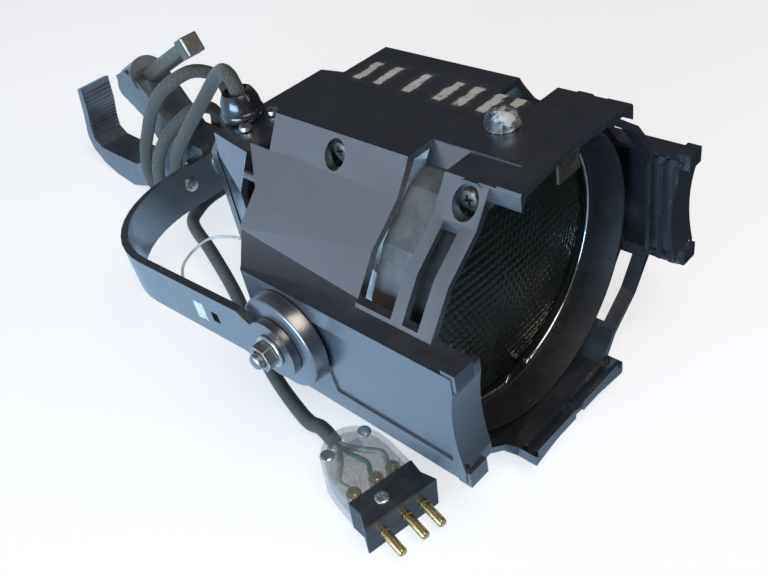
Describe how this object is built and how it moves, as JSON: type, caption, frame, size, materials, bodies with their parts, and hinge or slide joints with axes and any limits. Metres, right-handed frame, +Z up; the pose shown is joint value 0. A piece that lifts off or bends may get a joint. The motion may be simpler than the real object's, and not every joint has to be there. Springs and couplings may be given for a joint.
{
  "type": "par light",
  "caption": "Stage par light: octagonal cast barrel with vented side arms and a turning moulded lens, rear lamp cap, bent strap yoke, cast pipe clamp and a braided lead with a pin plug.",
  "frame": {"origin": "middle of the overall box's underside, without the lead and its plug, on the floor", "axes": "+X towards the tilt knob, along the tilt axis; -Y the way the light leaves; +Z up"},
  "size_m": [0.2801, 0.5232, 0.2108],
  "materials": {
    "black_casting": "die-cast aluminium painted satin black, scuffed at its edges",
    "black_steel": "satin black paint on flat steel",
    "grey_baffle": "thin aluminium sheet, dull warm grey",
    "bright_aluminium": "polished",
    "moulded_glass": "moulded glass covered in small lenses",
    "zinc": "zinc plated",
    "chrome_wire": "bright spring wire",
    "ceramic": "unglazed ceramic, off-white",
    "clear_glass": "clear quartz",
    "cast_iron": "rough black casting",
    "worn_steel": "darkened steel worn bright on its edges",
    "braided_sleeve": "braided fibre sleeve, olive grey",
    "clear_plastic": "clear moulded plastic, scratched",
    "black_plastic": "moulded, matt",
    "brass": "bright turned brass",
    "pale_plastic": "thin pale nylon"
  },
  "bodies": {
    "housing": {"housing_left_half": "black_casting", "housing_right_half": "black_casting", "housing_screw_left_1": "zinc", "housing_screw_left_2": "zinc", "housing_screw_right_1": "zinc", "housing_screw_right_2": "zinc", "seam_knob": "zinc", "heat_baffle": "grey_baffle", "reflector": "bright_aluminium", "rear_spider": "black_casting", "cap_stud_1": "black_steel", "cap_stud_2": "black_steel", "cap_stud_3": "black_steel", "cap_stud_4": "black_steel", "pivot_disc_left": "black_casting", "pivot_disc_right": "black_casting", "pivot_bolt_left": "zinc", "pivot_bolt_right": "zinc", "pivot_nut_left": "zinc", "power_lead": "braided_sleeve", "plug_cover": "clear_plastic", "plug_block": "black_plastic", "plug_block_screw": "zinc", "plug_cover_screw_1": "zinc", "plug_cover_screw_2": "zinc", "plug_pin_1": "brass", "plug_pin_2": "brass", "plug_pin_3": "brass", "plug_terminal_1": "brass", "plug_terminal_2": "brass", "plug_terminal_3": "brass"},
    "lens_group": {"lens_ring": "black_casting", "lens": "moulded_glass", "lens_wire": "chrome_wire"},
    "latch": {"frame_latch": "worn_steel"},
    "cap": {"rear_cap": "black_casting", "cap_screw_1": "zinc", "cap_screw_2": "zinc", "cord_gland": "black_plastic", "lampholder": "ceramic", "lamp_base": "bright_aluminium", "lamp_envelope": "clear_glass"},
    "yoke": {"yoke": "black_steel", "yoke_screw": "zinc", "pivot_washer_left": "zinc", "pivot_washer_right": "zinc", "cable_tie": "pale_plastic"},
    "knob": {"tilt_knob": "black_plastic"},
    "clamp": {"clamp_body": "cast_iron", "spigot_bolt": "worn_steel", "spigot_head": "zinc", "spigot_washer": "zinc"},
    "pipe_bolt": {"pipe_bolt": "worn_steel"},
    "set_screw": {"clamp_set_screw": "zinc"}
  },
  "joints": [
    {"name": "yoke_tilt", "type": "hinge", "parent": "housing", "child": "yoke", "pos_m": [0, -0.13793, 0.10407], "axis": [1, 0, 0], "range_deg": [-6, 95], "deforming": ["power_lead"]},
    {"name": "knob_turn", "type": "hinge", "parent": "yoke", "child": "knob", "pos_m": [0.127, -0.13793, 0.10407], "axis": [1, 0, 0], "range_deg": [-540, 0]},
    {"name": "clamp_swivel", "type": "hinge", "parent": "yoke", "child": "clamp", "pos_m": [0, 0.06827, 0.07486], "axis": [0, 0.9818, -0.19], "range_deg": [-60, 60], "deforming": ["power_lead"]},
    {"name": "pipe_bolt_slide", "type": "slide", "parent": "clamp", "child": "pipe_bolt", "axis": [0, 0.841, -0.541], "range_m": [-0.02, 0.055]},
    {"name": "set_screw_slide", "type": "slide", "parent": "clamp", "child": "set_screw", "axis": [-1, 0, 0], "range_m": [0, 0.006]},
    {"name": "lens_turn", "type": "hinge", "parent": "housing", "child": "lens_group", "pos_m": [0, -0.18714, 0.10467], "axis": [0, -0.9946, 0.1037], "continuous": true},
    {"name": "latch_flex", "type": "hinge", "parent": "housing", "child": "latch", "pos_m": [0, -0.21313, 0.19767], "axis": [1, 0, 0], "range_deg": [0, 14], "stiffness_Nm_per_rad": 0.4},
    {"name": "cap_slide", "type": "slide", "parent": "housing", "child": "cap", "axis": [0, 0.9946, -0.1037], "range_m": [0, 0.035], "deforming": ["power_lead"]}
  ]
}
